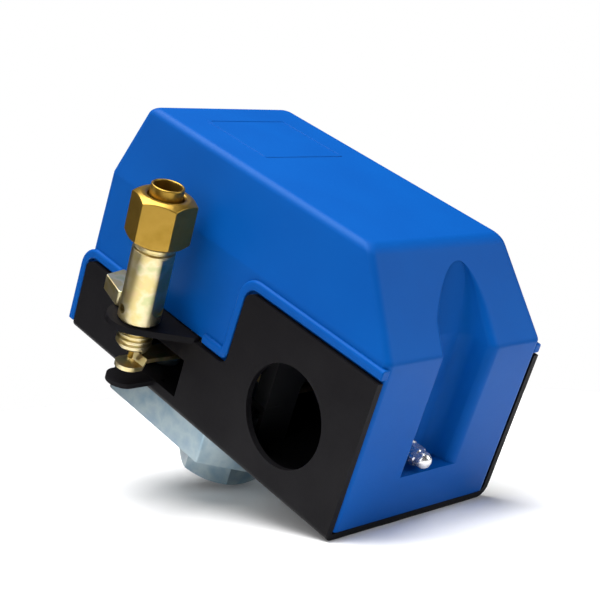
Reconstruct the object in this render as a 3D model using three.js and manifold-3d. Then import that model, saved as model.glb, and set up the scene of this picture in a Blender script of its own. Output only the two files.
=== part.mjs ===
// Air compressor pressure switch with a side unloader valve.
// Millimetres, +Z up. The origin is the centre of the pipe port's end face and +X runs along the
// case towards the end that the cover screw holds. Inside the `assembly` group the origin is the
// middle of the chassis at the level of the cover's foot, and every dimension is counted from it.

import * as THREE from 'three';
import { mergeVertices } from 'three/addons/utils/BufferGeometryUtils.js';
import Module from 'manifold-3d';

const wasm = await Module();
wasm.setup();

// ---------------------------------------------------------------- driving dimensions

const GAP = 0.3;
const SHEET = 1.5;
const WALL = 1.8;
const UNDERSIDE = -1.2;
const FLOOR = UNDERSIDE + SHEET;

// Chassis: a U of sheet steel, open at both ends and at the top.
const CHASSIS = {
  left: -46, right: 46.1, halfWidth: 26, bend: 1.8,
  lowTop: 17.1, earTop: 35.4, stepFoot: 6.1, stepHead: 6.5, corner: 2.2,
};
const CONDUIT = { x: 25.8, z: 16.2, radius: 11.1 };
const WINDOW = { left: -22, right: -6, bottom: 2.3, top: 11.6 };
const TAB = { left: -23.2, right: -4.8, top: 18, noseX: -17, noseY: -33.5, noseRadius: 6.2, lean: 2.2 };
const TONGUE = { x: -17.3, tipY: -36, radius: 3.8, bottom: 1, top: 2.2 };
const END_TAB = { inner: 35.9, outer: 37.4, halfWidth: 9, top: 18.5 };

// Cover: a moulded shell with sloping ends and leaning front and back.
const COVER = {
  topLeft: -42.6, topRight: 30.2, top: 57.06, topHalf: 21.6,
  creaseLeft: -46.7, creaseRight: 46.2, crease: 39.4, creaseHalf: 24.8,
  footLeft: -47.2, beadHalf: 25.6, beadGap: 0.7, bead: 2.2, beadCut: -3, tabClear: 18.4,
};
const SKIRT_HALF = CHASSIS.halfWidth - SHEET - 0.4;
const FLUTE = {
  footFront: -8.35, footBack: 7.8, front: -8.6, back: 9, floor: 10.7, footX: 40, creaseX: 38.8,
  headX: 33, head: 54, headHalf: 3,
};
const COVER_SCREW = { y: -1.6, z: 13.25, radius: 1.4, seat: 40.3, domeRadius: 1.9, hexAcross: 3.9 };

// Pressure side, below the chassis and on the port's axis.
const PORT = { x: -11.3, length: 23.8, hexAcross: 19, rimRadius: 9.2, boreRadius: 5.9 };
const FLANGE = {
  length: 45.4, halfWidth: 21.6, corner: 2, chamferX: 9.6, chamferY: 12.9, bottom: -11,
  screwX: 13, screwY: 14.5,
};
const DIAPHRAGM = { thickness: 1.2, inset: 0.5 };
const PISTON = { radius: 12, top: 5, noseRadius: 3, noseTop: 7.7 };

// Switching mechanism, inside the case.
const PIVOT = { x: -38, z: 11, radius: 1.5 };
const LEVER = { left: -41.5, right: 8.5, halfWidth: 9, bottom: 8, top: 9.6 };
const ARM = { left: -17.8, right: -12, sheet: 1, tipY: -36.8, bendY: -31.2 };
const RANGE = { x: -28.5, y: 0, rod: 3, rodTop: 47, coil: 6.9, wire: 1, turns: 7, seat: 10.3, nut: 34 };
const DIFFERENTIAL = {
  x: -6.5, y: 15, rod: 2, rodTop: 38, coil: 3.9, wire: 0.6, turns: 7, seat: 10.3, nut: 26,
};
const PLUNGER = { x: 5.5, radius: 3, collarRadius: 5.2, foot: LEVER.top + GAP };
const BLOCK = { left: 0.5, right: 22, halfWidth: 19.5, bottom: 29, top: 37 };
const TERMINALS = { rows: [-15.5, -7.5, 7.5, 15.5], width: 5.5, screwX: 17.5 };

// Unloader valve: lengths run along its own axis from the top of the tab.
const VALVE = { x: -15.7, y: -33.3, z: 17.6, barrelRadius: 4.75, barrelTop: 18.7, threadRadius: 4 };
const VALVE_NUT = { across: 12.6, bottom: 19.3, top: 29.9, turn: 21 };
const FERRULE = { outer: 3.65, inner: 3.15, bottom: 26, top: 32.1 };

// ---------------------------------------------------------------- materials

const finish = (color, roughness, metalness) =>
  new THREE.MeshStandardMaterial({ color, roughness, metalness });

const blackPaint = finish(0x17161a, 0.45, 0.2);
const bluePlastic = finish(0x0563b8, 0.5, 0);
const zinc = finish(0xa9bcc4, 0.4, 0.9);
const yellowZinc = finish(0xcdbf8e, 0.35, 0.9);
const brass = finish(0xb58a2b, 0.3, 0.95);
const nickel = finish(0xd5d6d8, 0.2, 1);
const springSteel = finish(0x8d9094, 0.35, 0.9);
const blackPlastic = finish(0x1c1c1e, 0.6, 0);
const rubber = finish(0x111111, 0.85, 0);
const copper = finish(0xb9855a, 0.35, 0.9);

// ---------------------------------------------------------------- solids

/** A closed geometry as a solid: shared vertices merged, empty triangles dropped, faces outward. */
function solidOf(geometry) {
  const bare = geometry.clone();
  bare.deleteAttribute('normal');
  bare.deleteAttribute('uv');
  const merged = mergeVertices(bare, 1e-4);
  const index = Array.from(merged.index.array);
  const place = merged.attributes.position;
  const corners = [new THREE.Vector3(), new THREE.Vector3(), new THREE.Vector3()];
  const kept = [];
  let volume = 0;
  for (let i = 0; i < index.length; i += 3) {
    const [a, b, c] = index.slice(i, i + 3);
    if (a === b || b === c || c === a) continue;
    [a, b, c].forEach((vertex, k) => corners[k].fromBufferAttribute(place, vertex));
    volume += corners[0].dot(corners[1].clone().cross(corners[2]));
    kept.push(a, b, c);
  }
  if (volume < 0) kept.reverse();
  return new wasm.Manifold(new wasm.Mesh({
    numProp: 3,
    vertProperties: Float32Array.from(place.array),
    triVerts: Uint32Array.from(kept),
  }));
}

/** A solid as a geometry with flat faces. */
function geometryOf(solid) {
  const { numProp, vertProperties, triVerts } = solid.getMesh();
  const position = new Float32Array(triVerts.length * 3);
  triVerts.forEach((vertex, i) => {
    for (let k = 0; k < 3; k += 1) position[i * 3 + k] = vertProperties[vertex * numProp + k];
  });
  const geometry = new THREE.BufferGeometry();
  geometry.setAttribute('position', new THREE.BufferAttribute(position, 3));
  geometry.computeVertexNormals();
  return geometry;
}

const join = (...parts) => geometryOf(parts.map(solidOf).reduce((a, b) => a.add(b)));
const cut = (body, ...tools) =>
  geometryOf(tools.map(solidOf).reduce((a, b) => a.subtract(b), solidOf(body)));
const common = (a, b) => geometryOf(solidOf(a).intersect(solidOf(b)));

function box([x0, x1], [y0, y1], [z0, z1]) {
  const geometry = new THREE.BoxGeometry(x1 - x0, y1 - y0, z1 - z0);
  return geometry.translate((x0 + x1) / 2, (y0 + y1) / 2, (z0 + z1) / 2);
}

/** A round bar along Z. */
function bar(radius, z0, z1, x = 0, y = 0, sides = 20) {
  const geometry = new THREE.CylinderGeometry(radius, radius, z1 - z0, sides);
  return geometry.rotateX(Math.PI / 2).translate(x, y, (z0 + z1) / 2);
}

/** A body of revolution about Z, from a profile of [radius, height] pairs. */
function turned(profile, sides = 24) {
  const points = profile.map(([radius, height]) => new THREE.Vector2(radius, height));
  return new THREE.LatheGeometry(points, sides).rotateX(Math.PI / 2);
}

/** A ring-shaped profile is closed by repeating its first point. */
const closed = (profile) => [...profile, profile[0]];

/** A polygon whose corners [x, y, radius] are rounded where a radius is given. */
function outline(corners) {
  const shape = new THREE.Shape();
  corners.forEach(([x, y, radius = 0], i) => {
    const at = new THREE.Vector2(x, y);
    const before = new THREE.Vector2(...corners.at(i - 1));
    const after = new THREE.Vector2(...corners[(i + 1) % corners.length]);
    const start = at.clone().add(before.sub(at).setLength(radius));
    const end = at.clone().add(after.sub(at).setLength(radius));
    if (i === 0) shape.moveTo(start.x, start.y);
    else shape.lineTo(start.x, start.y);
    if (radius > 0) shape.quadraticCurveTo(at.x, at.y, end.x, end.y);
  });
  shape.closePath();
  return shape;
}

const PLANES = {
  xy: new THREE.Matrix4(),
  xz: new THREE.Matrix4().makeBasis(
    new THREE.Vector3(1, 0, 0), new THREE.Vector3(0, 0, 1), new THREE.Vector3(0, -1, 0)),
  yz: new THREE.Matrix4().makeBasis(
    new THREE.Vector3(0, 1, 0), new THREE.Vector3(0, 0, 1), new THREE.Vector3(1, 0, 0)),
};

/** A shape drawn in one plane and given a thickness between two heights across that plane. */
function slab(plane, shape, low, high) {
  const options = { depth: high - low, bevelEnabled: false, curveSegments: 6 };
  const geometry = new THREE.ExtrudeGeometry(shape, options);
  geometry.translate(0, 0, plane === 'xz' ? -high : low);
  return geometry.applyMatrix4(PLANES[plane]);
}

const polygon = (points) => outline(points);

/** A hexagonal bar along Z, with both ends chamfered to a circle. */
function hexBar(across, z0, z1, rimRadius, sides = 24) {
  const corner = across / Math.sqrt(3);
  const drop = (corner - rimRadius) * Math.tan(Math.PI / 6);
  const hex = new THREE.CylinderGeometry(corner, corner, z1 - z0, 6);
  hex.rotateX(Math.PI / 2).translate(0, 0, (z0 + z1) / 2);
  const envelope = turned([
    [0, z0], [rimRadius, z0], [corner, z0 + drop], [corner, z1 - drop], [rimRadius, z1], [0, z1],
  ], sides);
  return common(hex, envelope);
}

/** The centre line of a compression spring along Z, with one closed turn at each end. */
class Helix extends THREE.Curve {
  constructor(radius, z0, z1, turns, closedPitch) {
    super();
    Object.assign(this, { radius, z0, z1, turns, closedPitch });
  }

  getPoint(t, target = new THREE.Vector3()) {
    const turn = t * this.turns;
    const open = (this.z1 - this.z0 - 2 * this.closedPitch) / (this.turns - 2);
    let rise = this.closedPitch * turn;
    if (turn > 1) rise = this.closedPitch + open * (turn - 1);
    if (turn > this.turns - 1) rise = this.z1 - this.z0 - this.closedPitch * (this.turns - turn);
    const angle = turn * 2 * Math.PI;
    return target.set(this.radius * Math.cos(angle), this.radius * Math.sin(angle), this.z0 + rise);
  }
}

/** A spring of round wire between two flat faces. */
function spring(coil, wire, z0, z1, turns) {
  const section = new THREE.Shape();
  section.absarc(0, 0, wire, 0, 2 * Math.PI, false);
  const path = new Helix(coil, z0 + wire * 1.3, z1 - wire * 1.3, turns, wire * 2.3);
  return new THREE.ExtrudeGeometry(section, {
    steps: turns * 9, extrudePath: path, bevelEnabled: false, curveSegments: 2,
  });
}

/** A screw along Z: its head sits on height `under`, and its shank runs down from there. */
function panScrew(headRadius, headHeight, radius, length, under) {
  const blank = turned([
    [0, under - length], [radius, under - length], [radius, under], [headRadius, under],
    [headRadius, under + headHeight * 0.6], [headRadius * 0.75, under + headHeight],
    [0, under + headHeight],
  ], 14);
  const slotDepth = headHeight * 0.45;
  const top = under + headHeight;
  return cut(blank, box([-headRadius, headRadius], [-0.45, 0.45], [top - slotDepth, top + 1]));
}

// ---------------------------------------------------------------- scene graph

const assembly = new THREE.Group();
assembly.position.set(-PORT.x, 0, PORT.length);

const tabTopPoint = new THREE.Vector3(VALVE.x, VALVE.y, VALVE.z);
const valveGroup = new THREE.Group();
valveGroup.position.copy(tabTopPoint);
valveGroup.rotation.x = THREE.MathUtils.degToRad(TAB.lean);
assembly.add(valveGroup);

function piece(name, geometry, material, parent = assembly) {
  const mesh = new THREE.Mesh(geometryOf(solidOf(geometry)), material);
  mesh.name = name;
  parent.add(mesh);
  return mesh;
}

// ---------------------------------------------------------------- chassis

/** The upper edge of a side panel, from the left end to the right end. */
const panelEdge = [
  [CHASSIS.left, UNDERSIDE],
  [CHASSIS.left, CHASSIS.lowTop],
  [CHASSIS.stepFoot, CHASSIS.lowTop],
  [CHASSIS.stepHead, CHASSIS.earTop],
  [CHASSIS.right, CHASSIS.earTop],
];

/** The same edge moved outward by a distance, with sharp corners. */
function offsetEdge(points, distance) {
  const normals = points.slice(1).map(([x, y], i) => {
    const [px, py] = points[i];
    const length = Math.hypot(x - px, y - py);
    return [-(y - py) / length, (x - px) / length];
  });
  return points.map(([x, y], i) => {
    const [ax, ay] = normals[Math.max(i - 1, 0)];
    const [bx, by] = normals[Math.min(i, normals.length - 1)];
    const scale = distance / (1 + ax * bx + ay * by);
    return [x + (ax + bx) * scale, y + (ay + by) * scale];
  });
}

const rounded = (points, radius) =>
  points.map(([x, y], i) => (i > 0 && i < points.length - 1 ? [x, y, radius] : [x, y]));

const underEdge = (points, foot) =>
  outline([...points, [points.at(-1)[0], foot], [points[0][0], foot]]);

function leaningTab() {
  const shape = new THREE.Shape();
  const side = THREE.MathUtils.degToRad(-28);
  const reach = TAB.noseRadius;
  shape.moveTo(TAB.left, -CHASSIS.halfWidth + SHEET);
  shape.lineTo(TAB.right, -CHASSIS.halfWidth + SHEET);
  shape.lineTo(TAB.right, -CHASSIS.halfWidth);
  shape.lineTo(TAB.noseX + reach * Math.cos(side), TAB.noseY + reach * Math.sin(side));
  shape.absarc(TAB.noseX, TAB.noseY, reach, side, -Math.PI, true);
  shape.closePath();
  const plate = slab('xy', shape, TAB.top - SHEET, TAB.top);
  const hinge = [0, -CHASSIS.halfWidth + SHEET, TAB.top - SHEET / 2];
  plate.translate(-hinge[0], -hinge[1], -hinge[2]);
  plate.rotateX(THREE.MathUtils.degToRad(TAB.lean));
  plate.translate(...hinge);
  return cut(plate, valveHoleTool());
}

function valveHoleTool() {
  const tool = bar(VALVE.threadRadius + GAP, -10, 10, 0, 0, 32);
  tool.rotateX(THREE.MathUtils.degToRad(TAB.lean));
  return tool.translate(...tabTopPoint.toArray());
}

function chassis() {
  const { left, right, halfWidth, bend, earTop, corner } = CHASSIS;
  const inner = halfWidth - SHEET;
  const channelOutside = slab('yz', outline([
    [-halfWidth, UNDERSIDE, bend], [halfWidth, UNDERSIDE, bend], [halfWidth, earTop],
    [-halfWidth, earTop],
  ]), left, right);
  const channelInside = slab('yz', outline([
    [-inner, FLOOR, bend - SHEET], [inner, FLOOR, bend - SHEET], [inner, earTop + 1],
    [-inner, earTop + 1],
  ]), left - 1, right + 1);
  const panelShape = slab('xz', underEdge(rounded(panelEdge, corner), UNDERSIDE - 1),
    -halfWidth, halfWidth);
  const channel = common(cut(channelOutside, channelInside), panelShape);

  const tongueShape = new THREE.Shape();
  const tongueFront = TONGUE.tipY + TONGUE.radius;
  tongueShape.moveTo(TONGUE.x - TONGUE.radius, -inner + 2);
  tongueShape.lineTo(TONGUE.x - TONGUE.radius, tongueFront);
  tongueShape.absarc(TONGUE.x, tongueFront, TONGUE.radius, Math.PI, 2 * Math.PI, false);
  tongueShape.lineTo(TONGUE.x + TONGUE.radius, -inner + 2);
  tongueShape.closePath();
  const tongue = slab('xy', tongueShape, TONGUE.bottom, TONGUE.top);

  const endTab = cut(
    box([END_TAB.inner, END_TAB.outer], [-END_TAB.halfWidth, END_TAB.halfWidth],
      [FLOOR - 0.5, END_TAB.top]),
    box([END_TAB.inner - 1, END_TAB.outer + 1],
      [COVER_SCREW.y - 1.9, COVER_SCREW.y + 1.9], [COVER_SCREW.z - 1.9, END_TAB.top + 1]),
  );
  const pivotLugs = [-1, 1].map((side) => {
    const ys = [side * 10.5, side * 12].sort((a, b) => a - b);
    const lug = slab('xz', outline([
      [PIVOT.x - 3.5, FLOOR - 0.5], [PIVOT.x + 3.5, FLOOR - 0.5],
      [PIVOT.x + 3.5, PIVOT.z + 3.4, 3],
      [PIVOT.x - 3.5, PIVOT.z + 3.4, 3],
    ]), ...ys);
    const eye = bar(PIVOT.radius + 0.05, -20, 20).rotateX(Math.PI / 2);
    return cut(lug, eye.translate(PIVOT.x, 0, PIVOT.z));
  });
  const footLug = box([right - SHEET, right], [-9.5, -3], [UNDERSIDE - 0.5, UNDERSIDE + 0.5]);

  const body = join(channel, tongue, endTab, ...pivotLugs, footLug, leaningTab());
  const conduitHole = bar(CONDUIT.radius, inner - 2, halfWidth + 1, 0, 0, 64);
  conduitHole.rotateX(Math.PI / 2).translate(CONDUIT.x, 0, CONDUIT.z);
  const leverWindow = slab('xz', outline([
    [WINDOW.left, WINDOW.bottom], [WINDOW.right, WINDOW.bottom], [WINDOW.right, WINDOW.top],
    [WINDOW.left, WINDOW.top],
  ]), -halfWidth - 1, -inner + 2);
  const floorHole = (radius, x, y, sides) =>
    bar(radius, UNDERSIDE - 1, FLOOR + 1, x, y, sides);
  const pistonHole = floorHole(PISTON.radius + 0.5, PORT.x, 0, 40);
  const screwHoles = flangeScrewPlaces.map(([x, y]) => floorHole(2.3, x, y, 16));
  const blockHoles = blockScrewPlaces.map(([x, y]) => floorHole(1.9, x, y, 16));
  const groundHole = floorHole(2.1, ...groundScrewPlace, 16);
  return cut(body, conduitHole, leverWindow, pistonHole, groundHole, ...screwHoles, ...blockHoles);
}

const flangeScrewPlaces = [[-1, -1], [1, -1], [1, 1], [-1, 1]].map(([a, b]) =>
  [PORT.x + a * FLANGE.screwX, b * FLANGE.screwY]);
const blockScrewPlaces = [[12, -17], [12, 17]];
const groundScrewPlace = [31, 15];

// ---------------------------------------------------------------- cover

/** The outer form of the cover, or a smaller copy of it when it is moved in by a wall. */
function coverForm(inset, halfAtCrease, foot) {
  const { topLeft, topRight, top, topHalf, creaseLeft, creaseRight, crease, creaseHalf } = COVER;
  const sideView = slab('xz', polygon([
    [COVER.footLeft + inset, foot], [creaseLeft + inset, crease - inset * 0.1],
    [topLeft + inset * 0.95, top - inset], [topRight - inset * 0.4, top - inset],
    [creaseRight - inset, crease - inset * 0.4], [creaseRight - inset, foot],
  ]), -30, 30);
  const lean = topHalf - creaseHalf;
  const endView = slab('yz', polygon([
    [-halfAtCrease, foot], [halfAtCrease, foot], [halfAtCrease, crease - inset * 0.1],
    [halfAtCrease + lean, top - inset], [-halfAtCrease - lean, top - inset],
    [-halfAtCrease, crease - inset * 0.1],
  ]), -60, 60);
  return common(sideView, endView);
}

/** The hollow moulded into the screw end, moved out by a wall when it shapes the inside. */
function fluteTool(wall) {
  const { footFront, footBack, front, back, floor, footX, creaseX, headX, head, headHalf } = FLUTE;
  const { crease } = COVER;
  const end = 60;
  const slope = (headX - creaseX) / (head - crease);
  const sideView = slab('xz', polygon([
    [footX - wall, floor - wall], [end, floor - wall], [end, end],
    [creaseX - wall * 1.08 + slope * (end - crease), end], [creaseX - wall * 1.05, crease],
  ]), -20, 20);
  const endView = slab('yz', polygon([
    [footFront - wall, floor - wall], [footBack + wall, floor - wall], [back + wall, crease],
    [headHalf + wall, head], [headHalf + wall, end], [-headHalf - wall, end],
    [-headHalf - wall, head], [front - wall, crease],
  ]), 0, end);
  return common(sideView, endView);
}

function cover() {
  const { beadHalf, beadGap, bead, beadCut, tabClear, crease, creaseHalf, creaseRight } = COVER;
  const outer = cut(coverForm(0, creaseHalf, 0), fluteTool(0));
  const hollow = cut(coverForm(WALL, SKIRT_HALF - WALL, -1), fluteTool(WALL));
  const reach = 60;
  const inner = rounded(offsetEdge(panelEdge, beadGap), CHASSIS.corner);
  const outerEdge = rounded(offsetEdge(panelEdge, beadGap + bead), CHASSIS.corner + bead * 0.6);
  const extend = (points) => points.map(([x, y, r], i) => (i === 0 ? [x, 0] : [x, y, r]));
  let shell = outer;
  for (const side of [-1, 1]) {
    const faces = [side * beadHalf, side * SKIRT_HALF].sort((a, b) => a - b);
    const beadBand = cut(
      slab('xz', underEdge(extend(outerEdge), 0), ...faces),
      slab('xz', underEdge(extend(inner), -1), -reach, reach),
    );
    const panelPocket = [side * reach, side * SKIRT_HALF].sort((a, b) => a - b);
    shell = cut(shell, slab('xz', underEdge(extend(inner), -1), ...panelPocket));
    shell = join(shell, beadBand);
  }
  const floorClear = box([CHASSIS.left - GAP, reach], [-reach, reach], [-1, FLOOR + GAP]);
  const behindPanel = -SKIRT_HALF + WALL + 1;
  const tabPocket = box([TAB.left - 1, beadCut], [-reach, behindPanel], [-1, tabClear]);
  const beadBreak = box([TAB.left - 1, beadCut], [-reach, -creaseHalf], [-1, 21.5]);
  const aboveConduit = box([8, 42], [-reach, behindPanel], [-1, 29]);
  const screwHole = bar(COVER_SCREW.radius + 0.3, 30, 50).rotateY(Math.PI / 2);
  screwHole.translate(0, COVER_SCREW.y, COVER_SCREW.z);
  const endTrim = box([creaseRight, reach], [-40, 40], [-5, crease]);
  return cut(shell, hollow, floorClear, aboveConduit, tabPocket, beadBreak, screwHole, endTrim);
}

/** A dome-headed hexagon screw along X. */
function coverScrew() {
  const { radius, seat, domeRadius, hexAcross } = COVER_SCREW;
  const hex = hexBar(hexAcross, seat, seat + 4.4, domeRadius);
  const dome = turned([
    [0, seat + 3], [domeRadius, seat + 3], [domeRadius, seat + 5.1],
    [domeRadius * 0.88, seat + 6.1], [domeRadius * 0.55, seat + 6.8], [0, seat + 7.1],
  ]);
  const shank = bar(radius, 33, seat + 1);
  return join(hex, dome, shank).rotateY(Math.PI / 2).translate(0, COVER_SCREW.y, COVER_SCREW.z);
}

function clipNut() {
  const plate = box([33.6, 35.5], [-3.4, 3.4], [-3.4, 3.4]);
  const hole = bar(COVER_SCREW.radius + 0.05, 30, 40).rotateY(Math.PI / 2);
  return cut(plate, hole).translate(0, COVER_SCREW.y, COVER_SCREW.z);
}

// ---------------------------------------------------------------- pressure side

const diaphragmTop = UNDERSIDE - GAP;
const flangeTop = diaphragmTop - DIAPHRAGM.thickness - GAP;

/** The casting's outline: two corners cut off at the end that faces the conduit hole. */
function flangeOutline(inset) {
  const { length, halfWidth, corner, chamferX, chamferY } = FLANGE;
  const end = length / 2 - inset;
  const side = halfWidth - inset;
  return outline([
    [-end, -side, corner], [end - chamferX, -side], [end, -side + chamferY],
    [end, side - chamferY], [end - chamferX, side], [-end, side, corner],
  ]);
}

function portFlange() {
  const plate = slab('xy', flangeOutline(0), FLANGE.bottom, flangeTop);
  const boss = common(
    hexBar(PORT.hexAcross, -PORT.length, FLANGE.bottom + 3, PORT.rimRadius),
    box([-20, 20], [-20, 20], [-PORT.length, FLANGE.bottom + 1]),
  );
  const bore = turned([
    [0, -PORT.length - 1], [PORT.boreRadius + 1.2, -PORT.length - 1],
    [PORT.boreRadius + 1, -PORT.length + 1], [PORT.boreRadius, -PORT.length + 2],
    [PORT.boreRadius - 0.4, -9], [PORT.boreRadius - 0.4, -8], [13, -5.5], [13, 0], [0, 0],
  ], 40);
  const local = cut(join(plate, boss), bore, ...flangeScrewPlaces.map(([x, y]) =>
    bar(2.3, -9, 0, x - PORT.x, y, 16)));
  return local.translate(PORT.x, 0, 0);
}

function diaphragm() {
  const sheet = slab('xy', flangeOutline(DIAPHRAGM.inset),
    diaphragmTop - DIAPHRAGM.thickness, diaphragmTop);
  const holes = flangeScrewPlaces.map(([x, y]) => bar(2.4, -5, 1, x - PORT.x, y, 16));
  return cut(sheet, ...holes).translate(PORT.x, 0, 0);
}

function piston() {
  const { radius, top, noseRadius, noseTop } = PISTON;
  return turned([
    [0, UNDERSIDE], [radius - 0.8, UNDERSIDE], [radius, UNDERSIDE + 0.8], [radius, top - 1],
    [radius - 1, top],
    [noseRadius + 2, top], [noseRadius, top + 1.2], [noseRadius, noseTop - 1],
    [noseRadius * 0.6, noseTop], [0, noseTop],
  ]).translate(PORT.x, 0, 0);
}

// ---------------------------------------------------------------- lever and springs

function mainLever() {
  const { left, right, halfWidth, bottom, top } = LEVER;
  const lobe = DIFFERENTIAL;
  const plate = slab('xy', outline([
    [left, -halfWidth, 1.5], [right, -halfWidth, 3], [right, halfWidth, 3],
    [lobe.x + 5.5, halfWidth], [lobe.x + 5.5, lobe.y + 5.5, 3], [lobe.x - 5.5, lobe.y + 5.5, 3],
    [lobe.x - 5.5, halfWidth], [left, halfWidth, 1.5],
  ]), bottom, top);
  const ears = [-1, 1].map((side) => {
    const ys = [side * halfWidth, side * (halfWidth - 1.6)].sort((a, b) => a - b);
    return slab('xz', outline([
      [PIVOT.x - 3, top - 0.5], [PIVOT.x + 3, top - 0.5], [PIVOT.x + 3, PIVOT.z + 3, 2.6],
      [PIVOT.x - 3, PIVOT.z + 3, 2.6],
    ]), ...ys);
  });
  const eye = bar(PIVOT.radius + 0.05, -20, 20).rotateX(Math.PI / 2).translate(PIVOT.x, 0, PIVOT.z);
  const rangeHole = bar(RANGE.rod + 1.5, bottom - 1, top + 1, RANGE.x, RANGE.y);
  const differentialHole = bar(DIFFERENTIAL.rod + 1, bottom - 1, top + 1, lobe.x, lobe.y);
  const rivetHole = bar(1.3, bottom - 1, top + 1, ...rivetPlace, 16);
  return cut(join(plate, ...ears), eye, rangeHole, differentialHole, rivetHole);
}

const rivetPlace = [(ARM.left + ARM.right) / 2, -5];

/** The strip that reaches out through the front window, stepped down twice, to the valve's pin. */
function unloaderArm() {
  const { left, right, sheet, tipY, bendY } = ARM;
  const onLever = LEVER.top + GAP;
  const throughWindow = 8.2;
  const pad = 6.4;
  const side = [
    [-1.5, onLever], [-20, onLever], [-21.5, throughWindow], [bendY, throughWindow],
    [bendY - 0.5, pad], [tipY, pad],
  ];
  const strip = slab('yz', polygon([
    ...side, ...side.map(([y, z]) => [y, z + sheet]).reverse(),
  ]), left, right);
  const half = (right - left) / 2;
  const plan = new THREE.Shape();
  plan.moveTo(left, 0);
  plan.lineTo(left, tipY + half);
  plan.absarc(left + half, tipY + half, half, Math.PI, 2 * Math.PI, false);
  plan.lineTo(right, 0);
  plan.closePath();
  return cut(common(strip, slab('xy', plan, 0, 20)), bar(1.3, 0, 20, ...rivetPlace, 16));
}

function armRivet() {
  const top = LEVER.top + GAP + ARM.sheet;
  return turned([
    [0, LEVER.bottom - 1], [2.2, LEVER.bottom - 1], [2.2, LEVER.bottom - 0.1],
    [1.2, LEVER.bottom - 0.1], [1.2, top + 0.1], [2.2, top + 0.1], [1.6, top + 1], [0, top + 1.1],
  ], 20).translate(...rivetPlace, 0);
}

function leverPin() {
  const pin = bar(PIVOT.radius, -13, 13);
  const head = bar(PIVOT.radius + 0.9, 12.3, 13.4);
  return join(pin, head).rotateX(Math.PI / 2).translate(PIVOT.x, 0, PIVOT.z);
}

/** An upright threaded rod on a round foot that is welded to the chassis. */
function stud({ x, y, rod, rodTop }, footRadius) {
  const foot = FLOOR + GAP;
  return turned([
    [0, foot], [footRadius, foot], [footRadius, foot + 1.2], [rod, foot + 1.8],
    [rod, rodTop - 0.8], [rod - 0.8, rodTop], [0, rodTop],
  ]).translate(x, y, 0);
}

function adjustingNut({ x, y, rod, nut }, across, height) {
  const rim = across / 2 - 0.2;
  const blank = hexBar(across, nut + 1.4, nut + height, rim);
  const washer = bar(across / 2 + 0.6, nut, nut + 1.5, 0, 0, 32);
  return cut(join(blank, washer), bar(rod + 0.05, nut - 1, nut + height + 1)).translate(x, y, 0);
}

const studSpring = ({ x, y, coil, wire, seat, nut, turns }) =>
  spring(coil, wire, seat, nut - GAP, turns).translate(x, y, 0);

// ---------------------------------------------------------------- contacts

function contactPlunger() {
  const { x, radius, collarRadius, foot } = PLUNGER;
  return turned([
    [0, foot], [radius - 0.8, foot], [radius, foot + 1], [radius, foot + 2],
    [collarRadius, foot + 2], [collarRadius, foot + 3.5], [radius, foot + 3.5],
    [radius, 40.4], [1.8, 40.4], [1.8, 44.2], [0, 44.2],
  ]).translate(x, 0, 0);
}

function contactCrossbar() {
  const { x } = PLUNGER;
  const rail = slab('yz', outline([
    [-18.4, 40.7], [18.4, 40.7], [18.4, 43.2, 0.8], [5, 43.6, 1], [3, 46, 1], [-3, 46, 1],
    [-5, 43.6, 1], [-18.4, 43.2, 0.8],
  ]), x - 3, x + 3);
  return cut(rail, bar(2.1, 40, 44.6, x, 0));
}

function contactBridge(middle) {
  const { x } = PLUNGER;
  const reach = 4;
  const strip = box([x - 2.2, x + 2.2], [middle - reach - 1.9, middle + reach + 1.9], [39.5, 40.4]);
  const buttons = [-1, 1].map((side) => bar(1.6, 38.95, 39.8, x, middle + side * reach, 20));
  return join(strip, ...buttons);
}

function contactBlock() {
  const { left, right, halfWidth, bottom, top } = BLOCK;
  const deck = box([left, right], [-halfWidth, halfWidth], [bottom, top]);
  const wall = box([10, 14], [-halfWidth + 1.2, halfWidth - 1.2], [FLOOR + GAP, bottom + 1]);
  const feet = [-1, 1].map((side) => {
    const ys = [side * 14, side * (halfWidth - 1)].sort((a, b) => a - b);
    return box([9.2, 14.2], ys, [FLOOR + GAP, 10]);
  });
  const ribs = [-11.5, 0, 11.5].map((y) => box([11, right], [y - 0.7, y + 0.7], [top - 1, 43.5]));
  const bores = TERMINALS.rows.map((y) => bar(1.85, 30.5, top + 1, TERMINALS.screwX, y, 16));
  const stemBore = bar(PLUNGER.radius + 0.35, bottom - 1, top + 1, PLUNGER.x, 0);
  const footBores = blockScrewPlaces.map(([x, y]) => bar(1.9, 0, 8.5, x, y, 16));
  const wireArch = slab('yz', outline([[-9, 0], [9, 0], [9, 18, 6], [-9, 18, 6]]), 9, 15);
  return cut(join(deck, wall, ...feet, ...ribs), ...bores, stemBore, ...footBores, wireArch);
}

function terminalPlate(y) {
  const bottom = BLOCK.top + GAP;
  const half = TERMINALS.width / 2;
  const strip = box([2.5, BLOCK.right - 0.5], [y - half, y + half], [bottom, bottom + 0.8]);
  const contact = bar(1.6, bottom + 0.4, bottom + 1.35, PLUNGER.x, y);
  return cut(join(strip, contact), bar(1.85, bottom - 1, bottom + 2, TERMINALS.screwX, y, 16));
}

// ---------------------------------------------------------------- unloader valve

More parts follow.
